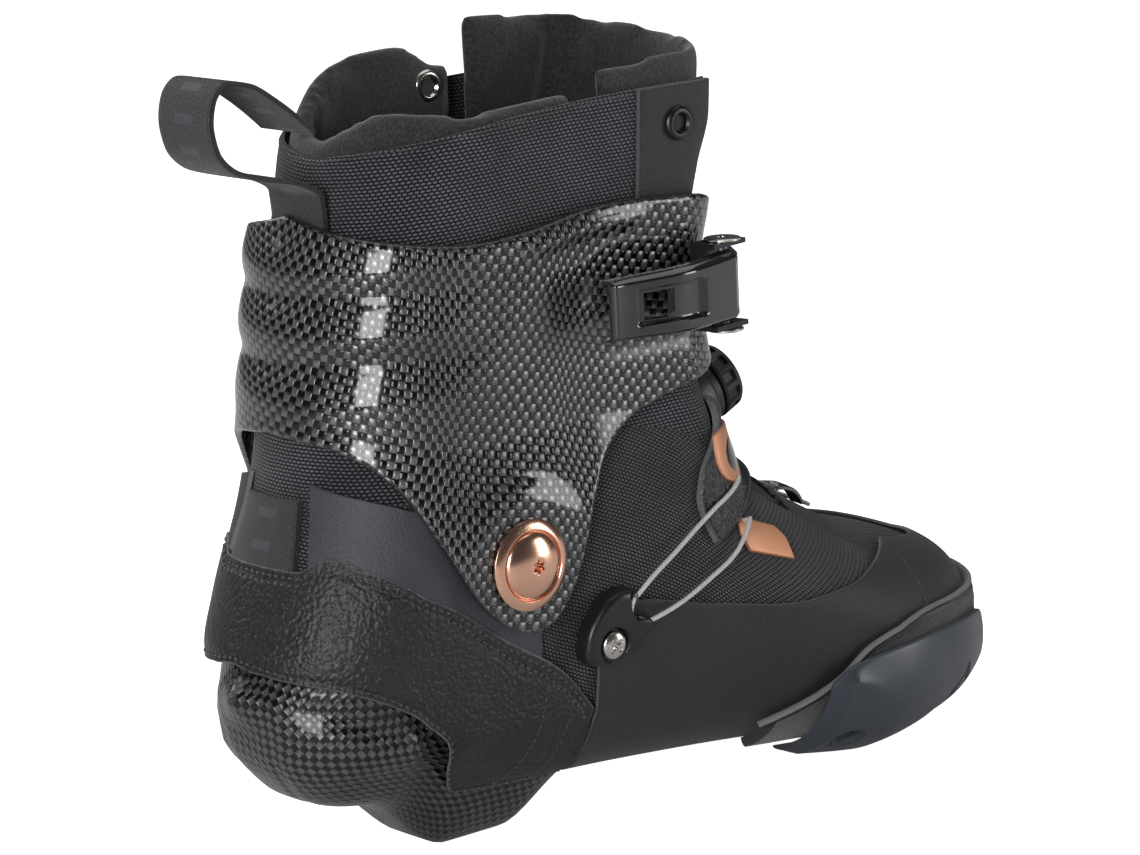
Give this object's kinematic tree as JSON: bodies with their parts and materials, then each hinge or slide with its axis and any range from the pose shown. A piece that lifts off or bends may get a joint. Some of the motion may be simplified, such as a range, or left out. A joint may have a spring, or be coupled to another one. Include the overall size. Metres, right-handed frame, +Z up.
{
  "type": "skating boot",
  "caption": "Hinged-cuff carbon skating boot, right foot: carbon sole shell and cuff, mesh and leather upper, wire lacing dial, ratchet buckle, pull loop",
  "frame": {"origin": "on the flat face of the mounting pad under the heel, at sole level", "axes": "+X towards the toe, +Y towards the inner side of the foot, +Z up"},
  "size_m": [0.2899, 0.1188, 0.239],
  "materials": {
    "carbon_clear": "plain-weave carbon fibre under a thick gloss lacquer, faint dust and fine scratches",
    "carbon_satin": "plain-weave carbon fibre, semi-gloss lacquer, scuffed under the heel",
    "mesh_fabric": "black ballistic basket-weave nylon with fine grey glints",
    "rib_knit": "black ribbed knit",
    "microfibre": "matte charcoal microfibre with a faint emboss and stitched edges",
    "grain_leather": "blue-black pebbled leather with double stitching",
    "smooth_film": "smooth dark grey reflective film",
    "neoprene": "warm dark grey brushed neoprene",
    "webbing": "black herringbone webbing with a plain woven stripe pattern",
    "piping": "light grey felt piping",
    "moulded_plastic": "slate grey moulded nylon with a fine grain",
    "black_plastic": "gloss black moulded nylon",
    "strap_plastic": "satin black toothed strap plastic",
    "soft_rubber": "soft black rubber, lightly dusty",
    "foam": "dark foam with a fabric face",
    "copper": "copper-coloured anodised metal with turned lines",
    "steel": "nickel plated steel",
    "black_steel": "black lacquered steel",
    "lace_wire": "braided steel lace wire with a nylon skin"
  },
  "bodies": {
    "boot": {"carbon_shell": "carbon_satin", "frame_insert_heel": "steel", "frame_insert_front": "steel", "footbed": "foam", "heel_pocket": "neoprene", "heel_counter": "mesh_fabric", "quarter_lateral": "mesh_fabric", "quarter_medial": "mesh_fabric", "vamp_knit": "rib_knit", "side_panel_lateral": "microfibre", "side_panel_medial": "microfibre", "toe_cap": "microfibre", "heel_overlay": "grain_leather", "ankle_patch_lateral": "smooth_film", "ankle_patch_medial": "smooth_film", "heel_webbing": "webbing", "toe_rand": "microfibre", "rand_piping": "piping", "toe_guard": "moulded_plastic", "guard_screw_lateral": "black_steel", "guard_screw_medial": "black_steel", "tongue_lower": "neoprene", "tongue_shield": "grain_leather", "badge": "copper", "side_tag": "copper", "dial_base": "black_plastic", "lace_guide_lateral": "black_plastic", "lace_guide_medial": "black_plastic", "guide_screw_lateral": "steel", "guide_screw_medial": "steel", "lace_lateral": "lace_wire", "lace_medial": "lace_wire", "lace_front": "lace_wire", "vamp_loop_lateral": "grain_leather", "vamp_loop_medial": "grain_leather", "pivot_bush_lateral": "steel", "pivot_bush_medial": "steel", "pivot_washer_lateral": "copper", "pivot_washer_medial": "copper", "pivot_screw_lateral": "copper", "pivot_screw_medial": "copper"},
    "cuff_assembly": {"cuff": "carbon_clear", "collar_mesh": "mesh_fabric", "collar_lining": "neoprene", "tongue_upper": "neoprene", "eyelet_tab_lateral": "microfibre", "eyelet_tab_medial": "microfibre", "eyelet_lateral": "black_steel", "eyelet_medial": "steel", "pull_loop": "webbing", "buckle_mount": "black_steel", "buckle_base": "black_steel", "buckle_axle": "steel", "buckle_pawl": "black_steel", "ladder_strap": "strap_plastic", "strap_rivet": "steel"},
    "lever": {"buckle_lever": "black_plastic"},
    "spool": {"dial_spool": "steel"},
    "knob": {"dial_knob": "soft_rubber"}
  },
  "joints": [
    {"name": "cuff_hinge", "type": "hinge", "parent": "boot", "child": "cuff_assembly", "pos_m": [-0.013, 0, 0.09], "axis": [0, 1, 0], "range_deg": [-5, 10]},
    {"name": "buckle_hinge", "type": "hinge", "parent": "cuff_assembly", "child": "lever", "pos_m": [0.06527, -0.04877, 0.16], "axis": [0, 0, 1], "range_deg": [0, 90]},
    {"name": "dial_turn", "type": "hinge", "parent": "boot", "child": "spool", "pos_m": [0.08926, -0.005, 0.11719], "axis": [0.938, -0.0581, 0.3417], "continuous": true},
    {"name": "knob_pull", "type": "slide", "parent": "spool", "child": "knob", "axis": [0.938, -0.0581, 0.3417], "range_m": [0, 0.002]}
  ]
}
